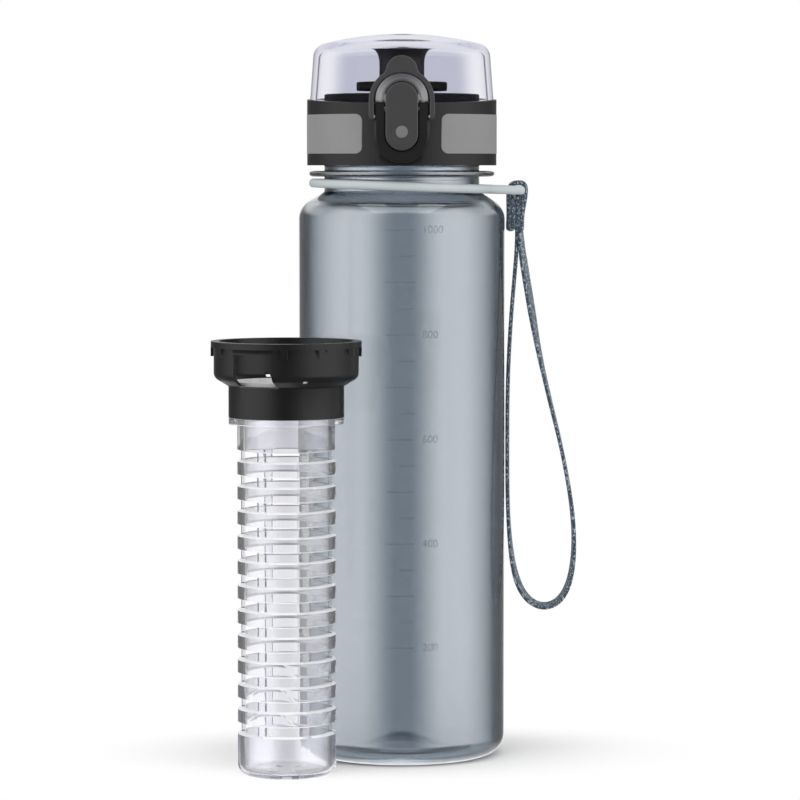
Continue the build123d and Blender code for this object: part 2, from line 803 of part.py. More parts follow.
# The release lever: a long rounded plate with a barrel for its pin and a hook at its top
with BuildPart() as release_lever:
    with BuildSketch(front_plane(lever_front)):
        with Locations((0, (lever_bottom_z + lever_top_z) / 2)):
            SlotOverall(lever_top_z - lever_bottom_z, 2 * lever_half, rotation=90)
    extrude(amount=-lever_thick)
    fillet(release_lever.faces().sort_by(Axis.Y)[0].edges(), lever_round)
    with BuildSketch(Plane.YZ):
        with Locations((-lever_pin_y, lever_pin_z)):
            Circle(boss_barrel)
        with BuildLine():
            Polyline(
                (lever_thick / 2 - lever_front, lever_pin_z - boss_barrel),
                (-lever_pin_y, lever_pin_z - boss_barrel),
                (-lever_pin_y, lever_pin_z + boss_barrel),
                (lever_thick / 2 - lever_front, lever_pin_z + boss_barrel),
                close=True,
            )
        make_face()
    extrude(amount=boss_half, both=True)
    with BuildSketch(front_plane(lever_front - lever_thick / 2)):
        with Locations((0, hook_z + hook_height / 2)):
            Rectangle(2 * hook_half, hook_height)
    extrude(amount=-lever_thick / 2 - hook_depth)
    with BuildSketch(Plane.YZ):
        with Locations((-lever_pin_y, lever_pin_z)):
            Circle(lever_pin_radius + hinge_running)
    extrude(amount=lever_half, both=True, mode=Mode.SUBTRACT)
    with BuildSketch(front_plane(lever_front)):
        with Locations((0, dot_z)):
            Circle(dot_radius + bond_gap)
    extrude(amount=-dot_depth, mode=Mode.SUBTRACT)
keep(release_lever, "release_lever")

with BuildPart() as press_dot:
    with BuildSketch(front_plane(lever_front + dot_proud)):
        with Locations((0, dot_z)):
            Circle(dot_radius)
    extrude(amount=-dot_proud - dot_depth)
keep(press_dot, "press_dot")

# The locking bail: an arch with a thumb lobe, hung on two short pins
with BuildPart() as locking_bail:
    with BuildSketch(front_plane(bail_front)):
        with Locations((0, bail_arch_z)):
            Circle(bail_half)
        with Locations((0, bail_lobe_z)):
            Circle(bail_lobe_radius)
        with Locations((0, (bail_arch_z + bail_pin_z) / 2)):
            Rectangle(2 * bail_half, bail_arch_z - bail_pin_z)
        with Locations((0, bail_arch_z)):
            Circle(bail_inner_half, mode=Mode.SUBTRACT)
        with Locations((0, bail_arch_z)):
            Rectangle(2 * bail_inner_half, overrun, align=(Align.CENTER, Align.MAX), mode=Mode.SUBTRACT)
        with Locations((0, bail_pin_z)):
            Rectangle(overrun, overrun, align=(Align.CENTER, Align.MAX), mode=Mode.SUBTRACT)
    extrude(amount=-bail_thick)
    upright = locking_bail.edges().filter_by(Axis.Y)
    fillet(upright.filter_by(lambda e: abs(e.center().Z - bail_lobe_z) < bail_round), bail_blend)
    fillet(locking_bail.faces().sort_by(Axis.Y)[0].edges(), bail_round)
    for side in (-1, 1):
        with BuildSketch(Plane.YZ.offset(side * bail_inner_half)):
            with Locations((-bail_pin_y, bail_pin_z)):
                Circle(bail_eye)
        extrude(amount=side * (bail_half - bail_inner_half))
        with BuildSketch(Plane.YZ.offset(side * (bail_inner_half - overrun))):
            with Locations((-bail_pin_y, bail_pin_z)):
                Circle(bail_pin_radius + hinge_running)
        extrude(amount=side * 2 * overrun, mode=Mode.SUBTRACT)
keep(locking_bail, "locking_bail")


def cross_pin(y, z, radius, low_x, high_x):
    """A straight pin along X."""
    with BuildPart() as pin:
        with BuildSketch(Plane.YZ.offset(low_x)):
            with Locations((y, z)):
                Circle(radius)
        extrude(amount=high_x - low_x)
    return pin


hinge_pin = cross_pin(hinge_y, hinge_z, hinge_pin_radius, -ear_place - ear_width, ear_place + ear_width)
keep(hinge_pin, "hinge_pin")
lever_pin = cross_pin(-lever_pin_y, lever_pin_z, lever_pin_radius, -lever_pin_half, lever_pin_half)
keep(lever_pin, "lever_pin")
with BuildPart() as bail_pins:
    for low_x, high_x in ((bail_pin_inner, bail_pin_outer), (-bail_pin_outer, -bail_pin_inner)):
        add(cross_pin(-bail_pin_y, bail_pin_z, bail_pin_radius, low_x, high_x).part)
keep(bail_pins, "bail_pins")

# The lever's return spring: a small coil between the frame and the lever
button_pitch = (spring_length - button_spring_wire) / button_spring_turns
button_start = button_spring_floor + coil_end_gap + button_spring_wire / 2
button_plane = Plane(origin=(0, -button_start, button_spring_z), z_dir=(0, -1, 0))
button_spots = helix_arcs(button_plane, button_spring_radius, button_pitch, button_spring_turns, 0)
with BuildPart() as lever_spring:
    with BuildLine() as lever_wire:
        for start, end in zip(button_spots, button_spots[1:]):
            biarc(start, end)
    with BuildSketch(Plane(origin=lever_wire.line @ 0, z_dir=lever_wire.line % 0)):
        Circle(button_spring_wire / 2)
    sweep()
print("lever spring gap", round(least_gap(button_spots, button_spring_wire), 3))
keep(lever_spring, "lever_spring")

# The dome's torsion spring: a coil round the hinge pin with a leg under the dome's rim
torsion_plane = Plane(origin=(-torsion_width / 2, hinge_y, hinge_z), x_dir=(0, 0, 1), z_dir=(1, 0, 0))
torsion_spots = helix_arcs(torsion_plane, torsion_radius, torsion_pitch, torsion_turns, 180)
torsion_foot = hinge_y - shell_radius - torsion_wire / 2 - coil_end_gap
with BuildPart() as hinge_spring:
    with BuildLine() as torsion_path:
        (first, heading), (last, tail) = torsion_spots[0], torsion_spots[-1]
        Line(first - heading * torsion_foot, first)
        for start, end in zip(torsion_spots, torsion_spots[1:]):
            biarc(start, end)
        Line(last, last + tail * torsion_leg)
    with BuildSketch(Plane(origin=torsion_path.line @ 0, z_dir=torsion_path.line % 0)):
        Circle(torsion_wire / 2)
    sweep()
print("hinge spring gap", round(least_gap(torsion_spots, torsion_wire), 3))
keep(hinge_spring, "hinge_spring")

# The infuser's clear tube: rows of slots at the bottom of grooves, crossed by set-back ribs
groove_radius = tube_radius - groove_depth
rows = [row_first_z + row_pitch * k for k in range(row_count)]
tube_top_z = tube_flange_z + tube_flange_height + tube_neck_height
tube_neck_radius = skirt_bore - neck_gap
with BuildPart() as infuser_tube:
    with BuildSketch(infuser_section):
        with BuildLine():
            points = [(0, 0), (tube_radius, 0)]
            for z in rows:
                half = groove_height / 2
                points += [
                    (tube_radius, z - half - groove_chamfer),
                    (groove_radius, z - half),
                    (groove_radius, z + half),
                    (tube_radius, z + half + groove_chamfer),
                ]
            points += [
                (tube_radius, tube_flange_z),
                (tube_flange_radius, tube_flange_z),
                (tube_flange_radius, tube_flange_z + tube_flange_height),
                (tube_neck_radius, tube_flange_z + tube_flange_height),
                (tube_neck_radius, tube_top_z),
                (tube_bore, tube_top_z),
                (tube_bore, tube_floor),
                (0, tube_floor),
            ]
            Polyline(*points, close=True)
        make_face()
        fillet(vertices().sort_by_distance((tube_radius, 0))[0], tube_corner)
        fillet(vertices().sort_by_distance((tube_bore, tube_floor))[0], tube_corner - tube_floor)
    revolve(axis=infuser_axis)
    for z in rows:
        with BuildSketch(infuser_plane.offset(z - groove_height / 2)):
            Circle(groove_radius + slot_overcut)
            Circle(tube_bore - slot_overcut, mode=Mode.SUBTRACT)
            with PolarLocations(groove_radius, rib_count, start_angle=rib_angle):
                Rectangle(2 * groove_depth + 2 * tube_floor, rib_width, mode=Mode.SUBTRACT)
        extrude(amount=groove_height, mode=Mode.SUBTRACT)
    with BuildSketch(infuser_plane):
        with PolarLocations((drain_inner + drain_outer) / 2, rib_count, start_angle=rib_angle):
            SlotOverall(drain_outer - drain_inner, drain_width)
    extrude(amount=tube_floor, mode=Mode.SUBTRACT)
keep(infuser_tube, "infuser_tube")


def clear_of_windows(angle):
    """True when a direction from the hopper's axis meets neither of its windows."""
    return all(abs(math.remainder(angle - w, 360)) > window_clear_angle for w in window_angles)


# The hopper: flange with hanging teeth, cup with two windows, cone and skirt
cup_bore = cup_radius - cup_wall
cone_top_z = cone_foot_z + cone_rise
tooth_angles = [360 * k / tooth_count for k in range(tooth_count)]
window_angles = (window_angle, window_angle + 180)
teeth = [a for a in tooth_angles if clear_of_windows(a)]
weep_z = web_top_z + seat_gap + strainer_thick + weep_lift
weep_angles = [window_angle + 360 * k / weep_count for k in range(weep_count)]
weeps = [a for a in weep_angles if clear_of_windows(a)]
with BuildPart() as infuser_hopper:
    with BuildSketch(infuser_section):
        with BuildLine():
            Polyline(
                (flange_radius, hopper_top_z),
                (flange_radius, hopper_top_z - flange_height),
                (cup_radius, hopper_top_z - flange_height),
                (cup_radius, cone_top_z),
                (tube_flange_radius, cone_foot_z),
                (tube_flange_radius, hopper_z),
                (skirt_bore, hopper_z),
                (skirt_bore, web_top_z - web_thick),
                (web_bore, web_top_z - web_thick),
                (web_bore, web_top_z),
                (strainer_radius + neck_gap, web_top_z),
                (cup_bore, cone_top_z + cup_wall / 4),
                (cup_bore, hopper_top_z),
                close=True,
            )
        make_face()
        fillet(vertices().sort_by_distance((cup_radius, cone_top_z))[0], cone_round)
    revolve(axis=infuser_axis)
    for angle in teeth:
        with BuildSketch(infuser_plane.offset(hopper_top_z - flange_height)):
            with PolarLocations((cup_radius + flange_radius) / 2 - cup_wall / 2, 1, start_angle=angle):
                Rectangle(flange_radius - cup_radius + cup_wall, tooth_width)
            Circle(cup_bore, mode=Mode.SUBTRACT)
        extrude(amount=-tooth_drop)
    for angle in window_angles:
        with BuildSketch(infuser_plane.offset(hopper_top_z - window_top_drop)):
            with PolarLocations(strainer_radius + overrun / 2, 1, start_angle=angle):
                Rectangle(overrun, window_width)
        extrude(amount=-window_height, mode=Mode.SUBTRACT)
    for angle in weeps:
        with BuildSketch(infuser_plane.offset(weep_z)):
            with PolarLocations(strainer_radius + overrun / 2, 1, start_angle=angle):
                Rectangle(overrun, weep_width)
        extrude(amount=weep_height, mode=Mode.SUBTRACT)
keep(infuser_hopper, "infuser_hopper")

# The strainer: a slotted disc that lies on the hopper's inner web
with BuildPart() as infuser_strainer:
    with BuildSketch(infuser_plane.offset(web_top_z + seat_gap)):
        Circle(strainer_radius)
        for share, count in zip(strainer_ring_shares, strainer_counts):
            with PolarLocations(share * strainer_radius, count):
                SlotOverall(strainer_slot, strainer_slot_width, rotation=90, mode=Mode.SUBTRACT)
    extrude(amount=strainer_thick)
keep(infuser_strainer, "infuser_strainer")
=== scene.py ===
"""Looks for the fruit infuser water bottle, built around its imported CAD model.

Laid out as an add-on: one operator for each group of pieces and one for the stage.
Sizes are in millimetres in the profiles and in metres in Blender.
"""

import json
import math

import bmesh
import bpy
import numpy as np
from bpy.props import FloatProperty, FloatVectorProperty, IntProperty, PointerProperty
from bpy.types import Operator, Panel, PropertyGroup
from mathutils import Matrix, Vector


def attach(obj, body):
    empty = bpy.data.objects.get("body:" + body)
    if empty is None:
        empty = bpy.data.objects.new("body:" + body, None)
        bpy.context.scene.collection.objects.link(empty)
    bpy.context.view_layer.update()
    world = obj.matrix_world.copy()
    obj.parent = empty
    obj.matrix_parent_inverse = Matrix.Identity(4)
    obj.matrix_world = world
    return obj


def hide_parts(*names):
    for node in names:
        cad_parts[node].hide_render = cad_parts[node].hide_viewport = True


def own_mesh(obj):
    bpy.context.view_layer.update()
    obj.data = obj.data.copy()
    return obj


bl_info = {
    "name": "Fruit infuser bottle",
    "version": (1, 0, 0),
    "blender": (4, 5, 0),
    "location": "View3D > Sidebar > Bottle",
    "description": "Dresses the packed bottle: clear shells, lid, latch, strap and infuser",
    "category": "Object",
}

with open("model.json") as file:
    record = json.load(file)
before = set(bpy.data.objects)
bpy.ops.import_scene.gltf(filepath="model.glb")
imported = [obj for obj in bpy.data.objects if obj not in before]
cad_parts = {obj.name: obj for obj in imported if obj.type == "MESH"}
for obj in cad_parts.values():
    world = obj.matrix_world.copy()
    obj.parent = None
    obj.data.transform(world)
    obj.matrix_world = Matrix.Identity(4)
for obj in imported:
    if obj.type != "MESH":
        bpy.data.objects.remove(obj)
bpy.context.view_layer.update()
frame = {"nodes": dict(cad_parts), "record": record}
MM = 0.001

# Places that the profiles share with the CAD model, in millimetres and degrees
BODY_RADIUS, BODY_WALL = 40.0, 2.1
NECK_RADIUS, NECK_BORE, NECK_ROOT, NECK_TOP = 30.15, 27.6, 219.1, 248.0
MOUTH_BORE, MOUTH_DEPTH = 28.6, 6.6
SHOULDER_ROUND, SHOULDER_TURN, CONE_REACH = 8.5, 60.0, 3.0
HEEL_ROUND = 8.0
FOOT_RISE, FOOT_INNER, FOOT_OUTER = 1.2, 27.0, 30.0
HILL_RADIUS, HILL_HEIGHT, HILL_APRON = 19.0, 5.2, 2.0
BEAD_RADIUS, BEAD_Z, BEAD_HEIGHT = 36.0, 225.0, 2.2
INNER_FLOOR = [(30.0, 2.25), (24.0, 2.8), (20.0, 3.25)]
HILL_STEPS, ARC_STEPS = 20, 14

# The thread of neck and lid: its section (depth, height) in millimetres, its turns, the angle
# over which it grows to its full depth, and the share of that depth at its two ends
SLEEVE_BORE, THREAD_Z, THREAD_TURNS = 31.9, 234.5, 1.75
THREAD_SECTION = [(-0.1, -0.9), (1.2, -0.35), (1.2, 0.35), (-0.1, 0.9)]
THREAD_STEPS, THREAD_LEAD_IN, THREAD_END_SHARE = 96, math.pi / 4, 0.02

# The volume scale: its lowest line in millimetres, and the rest in metres
SCALE_FIRST, SCALE_STEPS, SCALE_DEPTH = 46.0, 9, 0.00004
LONG_LINE, SHORT_LINE, LINE_HALF = (-0.0062, 0.0048), (-0.0007, 0.0048), 0.00022
LINE_POINTS = 14
NUMBER_LEFT, NUMBER_SIZE = 0.0078, 0.0042

# The pale arch of painted light and shade on the hasp, in metres: its radius, its soft rim and the
# level of the lever's head
PALE_ARCH_RADIUS, PALE_ARCH_RIM, HEAD_Z = 0.0098, 0.0002, 0.2547


# Mesh tools

# In metres: points closer than this are one, edges shorter than this are none
MERGE_REACH, LEAST_EDGE = 2e-6, 1e-7


def new_mesh(name, points, faces):
    """A mesh from points in metres and from faces that list the points' numbers."""
    mesh = bpy.data.meshes.new(name)
    mesh.from_pydata(np.reshape(points, (-1, 3)).tolist(), [], faces)
    return mesh


def place_mesh(name, mesh, body, material, sharp=35.0, turned=False):
    """Merges doubled points, turns the faces outwards unless they are, and links the piece."""
    work = bmesh.new()
    work.from_mesh(mesh)
    bmesh.ops.remove_doubles(work, verts=work.verts, dist=MERGE_REACH)
    bmesh.ops.dissolve_degenerate(work, edges=work.edges, dist=LEAST_EDGE)
    if not turned:
        bmesh.ops.recalc_face_normals(work, faces=work.faces)
    work.to_mesh(mesh)
    work.free()
    mesh.polygons.foreach_set("use_smooth", np.ones(len(mesh.polygons), bool))
    mesh.set_sharp_from_angle(angle=math.radians(sharp))
    mesh.materials.append(material)
    piece = bpy.data.objects.new(name, mesh)
    bpy.context.scene.collection.objects.link(piece)
    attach(piece, body)
    return piece


def grid_faces(rows, columns, closed=True):
    """Quads between neighbours on a grid of points, numbered row by row; a closed row is a ring."""
    number = np.arange(rows * columns).reshape(rows, columns)
    if closed:
        number = np.concatenate([number, number[:, :1]], axis=1)
    quads = np.stack([number[:-1, :-1], number[1:, :-1], number[1:, 1:], number[:-1, 1:]], axis=-1)
    return quads.reshape(-1, 4).tolist()


def tube_faces(rings, count):
    """The sides of a tube of rings with count points each, and its two ends."""
    ends = [list(range(count)), list(range((rings - 1) * count, rings * count))[::-1]]
    return grid_faces(rings, count) + ends


def run_along(line):
    """How far each point of a line lies from its start, measured along it."""
    return np.concatenate([[0], np.cumsum(np.linalg.norm(np.diff(line, axis=0), axis=1))])


def rounded(outline, steps):
    """Outline points (r, z, radius): each corner becomes an arc tangent to its two sides.

    An arc of radius q at a corner turning by t starts q tan(t/2) before it, and its
    points lie on the circle about the point q/cos(t/2) along the bisector.
    """
    outline = [tuple(p) + (0.0,) * (3 - len(p)) for p in outline]
    made = []
    for k, (r, z, q) in enumerate(outline):
        here = np.array([r, z])
        if q <= 0 or k in (0, len(outline) - 1):
            made.append(here)
            continue
        back = np.array(outline[k - 1][:2]) - here
        ahead = np.array(outline[k + 1][:2]) - here
        reach = min(np.linalg.norm(back), np.linalg.norm(ahead)) * 0.49
        back, ahead = back / np.linalg.norm(back), ahead / np.linalg.norm(ahead)
        half = math.acos(np.clip(back @ ahead, -1, 1)) / 2
        tangent = min(q / math.tan(half), reach)
        radius = tangent * math.tan(half)
        middle = here + (back + ahead) / np.linalg.norm(back + ahead) * radius / math.sin(half)
        first, last = here + back * tangent - middle, here + ahead * tangent - middle
        a, b = math.atan2(first[1], first[0]), math.atan2(last[1], last[0])
        turn = (b - a + math.pi) % (2 * math.pi) - math.pi
        t = a + turn * np.linspace(0, 1, steps + 1)
        made += list(middle + radius * np.stack([np.cos(t), np.sin(t)], axis=1))
    return np.array(made)


def arc(centre, radius, start, end, steps):
    """Points on a circle of the r-z plane, from one angle in degrees to another."""
    t = np.radians(np.linspace(start, end, steps))
    return np.stack([centre[0] + radius * np.cos(t), centre[1] + radius * np.sin(t)], axis=1)


def revolve(name, profile, body, material, steps):
    """A surface of revolution, x = r cos a, y = r sin a, z, of a profile in mm from axis to axis."""
    a = np.linspace(0, 2 * math.pi, steps, endpoint=False)[None, :]
    r, z = profile[:, 0:1], profile[:, 1:2]
    points = np.stack([r * np.cos(a), r * np.sin(a), z + 0 * a], axis=-1) * MM
    mesh = new_mesh(name, points, grid_faces(len(profile), steps))
    return place_mesh(name, mesh, body, material)


def thread_ridge(name, radius, side, z, pitch, body, material):
    """A thread: its section carried round a helix, out from the radius for side 1, in for side -1.

    z rises by pitch in each turn, and the section's depth is scaled by a ramp that goes
    up to 1 over the first lead-in angle and down again over the last.
    """
    n, count = int(THREAD_TURNS * THREAD_STEPS) + 1, len(THREAD_SECTION)
    a = 2 * math.pi * np.arange(n)[:, None] / THREAD_STEPS
    ramp = np.clip(np.minimum(a, a[-1] - a) / THREAD_LEAD_IN, THREAD_END_SHARE, 1)
    depth, height = np.array(THREAD_SECTION).T
    r = radius + side * depth * ramp
    z = z + pitch * a / (2 * math.pi) + height
    points = np.stack([r * np.cos(a), r * np.sin(a), z], axis=-1) * MM
    return place_mesh(name, new_mesh(name, points, tube_faces(n, count)), body, material)


# Material tools


def rgba(colour):
    """A colour with its fourth part, which is 1."""
    return tuple(colour) + (1.0,)


def shade(colour, share):
    """A colour made darker or lighter by a share."""
    return tuple(min(1.0, c * share) for c in colour)


class Value:
    """A socket's output in a node tree; arithmetic on it adds Math nodes."""

    def __init__(self, tree, socket):
        self.tree, self.socket = tree, socket

    def __add__(self, other):
        return self.tree.math("ADD", self, other)

    def __sub__(self, other):
        return self.tree.math("SUBTRACT", self, other)

    def __rsub__(self, other):
        return self.tree.math("SUBTRACT", other, self)

    def __mul__(self, other):
        return self.tree.math("MULTIPLY", self, other)

    __radd__, __rmul__ = __add__, __mul__


class Tree:
    """A node tree in the making."""

    def __init__(self, owner):
        owner.use_nodes = True
        self.nodes = owner.node_tree.nodes
        self.links = owner.node_tree.links
        self.nodes.clear()

    def node(self, kind, settings=None, values=None, output=0):
        """Adds a node: its settings first, then the values or links of its sockets."""
        made = self.nodes.new(kind)
        for key, value in (settings or {}).items():
            setattr(made, key, value)
        for key, value in (values or {}).items():
            if isinstance(value, Value):
                self.links.new(value.socket, made.inputs[key])
            else:
                made.inputs[key].default_value = value
        return Value(self, made.outputs[output]) if made.outputs else made

    def math(self, operation, *values):
        return self.node("ShaderNodeMath", {"operation": operation}, dict(enumerate(values)))

    def outputs(self, value, *numbers):
        """The outputs with those numbers of the node that a value comes from."""
        return [Value(self, value.socket.node.outputs[k]) for k in numbers]

    def apart(self, vector):
        """The three parts of a vector."""
        return self.outputs(self.node("ShaderNodeSeparateXYZ", values={"Vector": vector}), 0, 1, 2)

    def step(self, value, low, high, first=0.0, last=1.0):
        """A smooth step from first to last while the value goes from low to high."""
        ends = {"From Min": low, "From Max": high, "To Min": first, "To Max": last}
        settings = {"interpolation_type": "SMOOTHSTEP"}
        return self.node("ShaderNodeMapRange", settings, {"Value": value, **ends})

    def fall(self, value, low, high):
        """A smooth step down, from 1 to 0."""
        return self.step(value, low, high, 1.0, 0.0)

    def between(self, value, rise, fall):
        """1 from the end of one range to the start of the next, with soft sides."""
        return self.step(value, *rise) * self.fall(value, *fall)


class Finish(Tree):
    """A node material in the making."""

    def __init__(self, name):
        self.material = bpy.data.materials.new(name)
        super().__init__(self.material)

    def place(self):
        """The point on the piece, in metres."""
        return self.node("ShaderNodeTexCoord", output="Object")

    def noise(self, scale, detail, rough=0.5, stretch=None):
        """Noise from 0 to 1; scale is in lumps per metre."""
        at = self.place()
        if stretch:
            at = self.node("ShaderNodeMapping", values={"Vector": at, "Scale": stretch})
        return self.node(
            "ShaderNodeTexNoise",
            values={"Vector": at, "Scale": scale, "Detail": detail, "Roughness": rough},
        )

    def blend(self, factor, first, second):
        """A colour between two colours."""
        first, second = (c if isinstance(c, Value) else rgba(c) for c in (first, second))
        values = {0: factor, 6: first, 7: second}
        return self.node("ShaderNodeMix", {"data_type": "RGBA"}, values, output=2)

    def bump(self, height, depth):
        """A normal from a height from 0 to 1 over a depth in metres."""
        return self.node("ShaderNodeBump", values={"Height": height, "Distance": depth})

    def surface(self, **values):
        """The principled surface, named sockets with underscores for spaces."""
        named = {key.replace("_", " "): value for key, value in values.items()}
        if not isinstance(named["Base Color"], Value):
            named["Base Color"] = rgba(named["Base Color"])
        return self.node("ShaderNodeBsdfPrincipled", values=named)

    def done(self, surface, volume=None):
        """The material, once its surface and any volume are linked to its output."""
        values = {"Surface": surface}
        if volume:
            values["Volume"] = volume
        self.node("ShaderNodeOutputMaterial", values=values)
        return self.material


# Clear plastic: the facing of a skin seen edge on, where it takes a painted dark outline, the
# steepness of a level face, and the white of the painted highlight there
EDGE_ON, LEVEL_FACE, SLOT_HIGHLIGHT_WHITE = (0.88, 0.98), (0.75, 0.95), (0.97, 0.97, 0.98)


def clear_plastic(name, colour, tint, density, roughness, ripple, ior, rim, gloss=0.0,
                  painted_side_colour=None, clear=1.0, turned=(0.2, 0.75), slot_highlight_share=0.0):
    """Clear plastic: its skin and its wall both take in light, and slow ripples bend reflections.

    Where the skin turns away it takes the side colour, over the range turned of the layer
    weight: on the dome and the tube the sides are painted lighter, and the dome's darker
    middle is a painted reflection of its roof's underside. Where the skin is seen edge on,
    rim is the share of that colour which is left: a painted dark outline, on top of the real
    darkening that absorption along the wall's greatest depth gives. Clear is the share of
    the light that isn't scattered, and the last argument the share of white, a painted
    highlight, on faces that look up or down, such as the walls of the slots.
    """
    f = Finish(name)
    painted_side_colour = painted_side_colour or colour
    wave = f.noise(38.0, 2.0, 0.4, stretch=(1, 1, 0.35))
    rough = roughness + f.noise(300.0, 2.0) * roughness
    skin = f.blend(wave, shade(colour, 0.985), colour)
    facing = f.node("ShaderNodeLayerWeight", values={"Blend": 0.5}, output=1)
    # Painted light: lighter sides, and on the dome a painted reflection in the darker middle
    skin = f.blend(f.step(facing, *turned), skin, painted_side_colour)
    # Painted shade: a dark outline where the skin is seen edge on
    skin = f.blend(f.step(facing, *EDGE_ON), skin, shade(painted_side_colour, rim))
    surface = f.surface(
        Base_Color=skin,
        Roughness=rough,
        IOR=ior,
        Transmission_Weight=clear,
        Coat_Weight=gloss,
        Coat_Roughness=0.02,
        Normal=f.bump(wave, ripple),
    )
    wall = {"Color": rgba(tint), "Density": density}
    volume = f.node("ShaderNodeVolumeAbsorption", values=wall)
    # Painted highlight: white on faces that look up or down, the upper and lower walls of the slots
    if slot_highlight_share:
        _, _, up = f.apart(f.node("ShaderNodeNewGeometry", output=1))
        white = f.node("ShaderNodeBsdfDiffuse", values={"Color": rgba(SLOT_HIGHLIGHT_WHITE)})
        level = f.step(f.math("ABSOLUTE", up), *LEVEL_FACE) * slot_highlight_share
        surface = f.node("ShaderNodeMixShader", values={0: level, 1: surface, 2: white})
    return f.done(surface, volume)


def moulded(name, colour, roughness, grain=0.00002, specular=0.4, lumps=1800.0):
    """Moulded plastic: fine grain in the bump, with slow changes of shade and gloss."""
    f = Finish(name)
    cloud = f.noise(45.0, 3.0, 0.55)
    fine = f.noise(lumps, 2.0, 0.6)
    surface = f.surface(
        Base_Color=f.blend(cloud, shade(colour, 0.86), shade(colour, 1.12)),
        Roughness=roughness - 0.05 + cloud * 0.06 + fine * 0.05,
        Specular_IOR_Level=specular,
        Normal=f.bump(fine, grain),
    )
    return f.done(surface)


def painted_light_arch(name, colour, pale):
    """Moulded plastic with a pale arch round the lever's head, brightest at its two ends: painted
    light, with painted shade that darkens it towards the arch's top.

    The arch lies within its radius of the head's centre, or of the line below it.
    """
    f = Finish(name)
    cloud = f.noise(45.0, 3.0, 0.55)
    x, _, z = f.apart(f.place())
    rise = f.math("MAXIMUM", z - HEAD_Z, 0.0)
    out = f.math("SQRT", x * x + rise * rise)
    inside = f.fall(out, PALE_ARCH_RADIUS - PALE_ARCH_RIM, PALE_ARCH_RADIUS + PALE_ARCH_RIM)
    # Painted shade: the arch darkens from its two ends towards its top
    arch_shade = f.blend(f.step(rise, 0.0, PALE_ARCH_RADIUS), pale, shade(pale, 0.35))
    skin = f.blend(inside, f.blend(cloud, shade(colour, 0.86), colour), arch_shade)
    surface = f.surface(
        Base_Color=skin,
        Roughness=0.33 + cloud * 0.06,
        Normal=f.bump(f.noise(1800.0, 2.0, 0.6), 0.00002),
    )
    return f.done(surface)


def faint(name, colour, share):
    """A thin mark that lets most of what lies behind it show."""
    f = Finish(name)
    worn = f.noise(900.0, 2.0, 0.6)
    surface = f.surface(Base_Color=colour, Roughness=0.5, Alpha=worn * 0.3 + share - 0.15)
    return f.done(surface)


def metal(name, colour, roughness):
    """Drawn steel: streaks along the wire."""
    f = Finish(name)
    streak = f.noise(60.0, 2.0, 0.5, stretch=(1, 60, 60))
    surface = f.surface(
        Base_Color=f.blend(streak, shade(colour, 0.85), colour),
        Roughness=roughness + streak * 0.12,
        Metallic=1.0,
        Normal=f.bump(streak, 0.00001),
    )
    return f.done(surface)


# A yarn's pitch and a column's width in millimetres, and how far a yarn leans across a column
YARN_PITCH, COLUMN_WIDTH, YARN_LEAN = 0.62, 0.5, 1.4


def webbing(name, dark, mid, pale):
    """Woven webbing: yarns lean left and right in turn across the band, with pale flecks, and
    painted shade in the weave's hollows.

    The UV map holds millimetres across and along. A yarn's height is the sine of its
    place along the lean, and a column changes its lean at each rib.
    """
    f = Finish(name)
    uv = f.node("ShaderNodeUVMap", {"uv_map": "UVMap"})
    across, along, _ = f.apart(uv)
    rib = f.math("PINGPONG", across, COLUMN_WIDTH)
    lean = along + rib * YARN_LEAN
    yarn = f.math("SINE", lean * (2 * math.pi / YARN_PITCH)) * 0.5 + 0.5
    crown = f.math("SINE", across * (2 * math.pi / COLUMN_WIDTH)) * 0.5 + 0.5
    height = yarn * 0.65 + crown * 0.35
    spot = f.step(f.noise(1500.0, 1.0, 0.5, stretch=(1, 1, 0.7)), 0.54, 0.62)
    # Painted shade: the colour runs from dark in the weave's hollows to mid on its crowns
    body = f.blend(height, dark, mid)
    surface = f.surface(
        Base_Color=f.blend(spot * 0.8, body, pale),
        Roughness=0.85 - height * 0.1,
        Specular_IOR_Level=0.2,
        Sheen_Weight=0.35,
        Normal=f.bump(height, 0.00022),
    )
    return f.done(surface)


# The finishes made so far, by name
FINISHES = {}
LARGE_FACE_WEIGHT = 90


